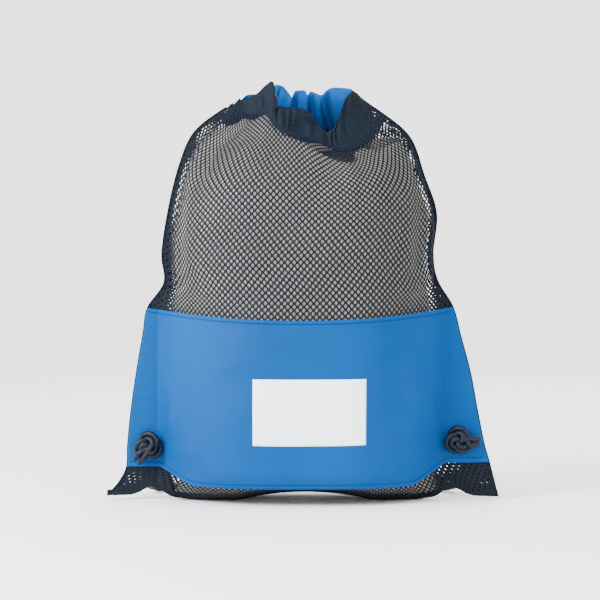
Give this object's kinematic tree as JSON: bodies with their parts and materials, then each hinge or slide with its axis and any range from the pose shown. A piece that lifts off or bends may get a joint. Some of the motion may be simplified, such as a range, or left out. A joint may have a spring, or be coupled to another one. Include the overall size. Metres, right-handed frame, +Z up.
{
  "type": "drawstring backpack",
  "caption": "Upright drawstring backpack: mesh bag filled out with paper, wide coloured band with a blank label, gathered open mouth, looped shoulder cords knotted at the corners.",
  "frame": {"origin": "middle of the bag's footprint, on the surface it stands on", "axes": "+Z up, the banded front towards -Y, +X to the right of someone facing the front"},
  "size_m": [0.352, 0.1685, 0.3739],
  "materials": {
    "mesh": "matte",
    "band": "satin",
    "lining": "satin",
    "label": "matte",
    "cord": "satin",
    "eyelet": "satin",
    "paper": "matte",
    "thread": "satin"
  },
  "bodies": {
    "bag": {"front_mesh_panel": "mesh", "back_mesh_panel": "mesh", "front_band": "band", "label_patch": "label", "paper_liner": "paper", "left_side_seam": "mesh", "right_side_seam": "mesh", "bottom_seam": "mesh", "left_casing_end": "mesh", "right_casing_end": "mesh", "left_lining_end": "lining", "right_lining_end": "lining", "left_eyelet": "eyelet", "left_eyelet_washer": "eyelet", "left_knot": "cord", "right_eyelet": "eyelet", "right_eyelet_washer": "eyelet", "right_knot": "cord"},
    "front_rim": {"front_casing": "mesh", "front_lining": "lining", "front_casing_cord_upper": "cord", "front_casing_cord_lower": "cord"},
    "back_rim": {"back_casing": "mesh", "back_lining": "lining", "back_casing_cord_upper": "cord", "back_casing_cord_lower": "cord"},
    "left_straps": {"left_cord_outer": "cord", "left_cord_inner": "cord"},
    "right_straps": {"right_cord_outer": "cord", "right_cord_inner": "cord"}
  },
  "joints": [
    {"name": "mouth_front", "type": "slide", "parent": "bag", "child": "front_rim", "axis": [0, -1, 0], "range_m": [-0.012, 0.01]},
    {"name": "mouth_back", "type": "slide", "parent": "bag", "child": "back_rim", "axis": [0, 1, 0], "range_m": [-0.012, 0.01]},
    {"name": "left_strap_swing", "type": "hinge", "parent": "bag", "child": "left_straps", "pos_m": [-0.138, 0.005, 0.049], "axis": [0.2601, 0.0265, 0.9652], "range_deg": [0, 40]},
    {"name": "right_strap_swing", "type": "hinge", "parent": "bag", "child": "right_straps", "pos_m": [0.14, 0.005, 0.054], "axis": [0.2727, -0.0268, -0.9617], "range_deg": [0, 40]}
  ],
  "couplings": [
    {"joint": "mouth_back", "follows": "mouth_front", "ratio": 1}
  ]
}
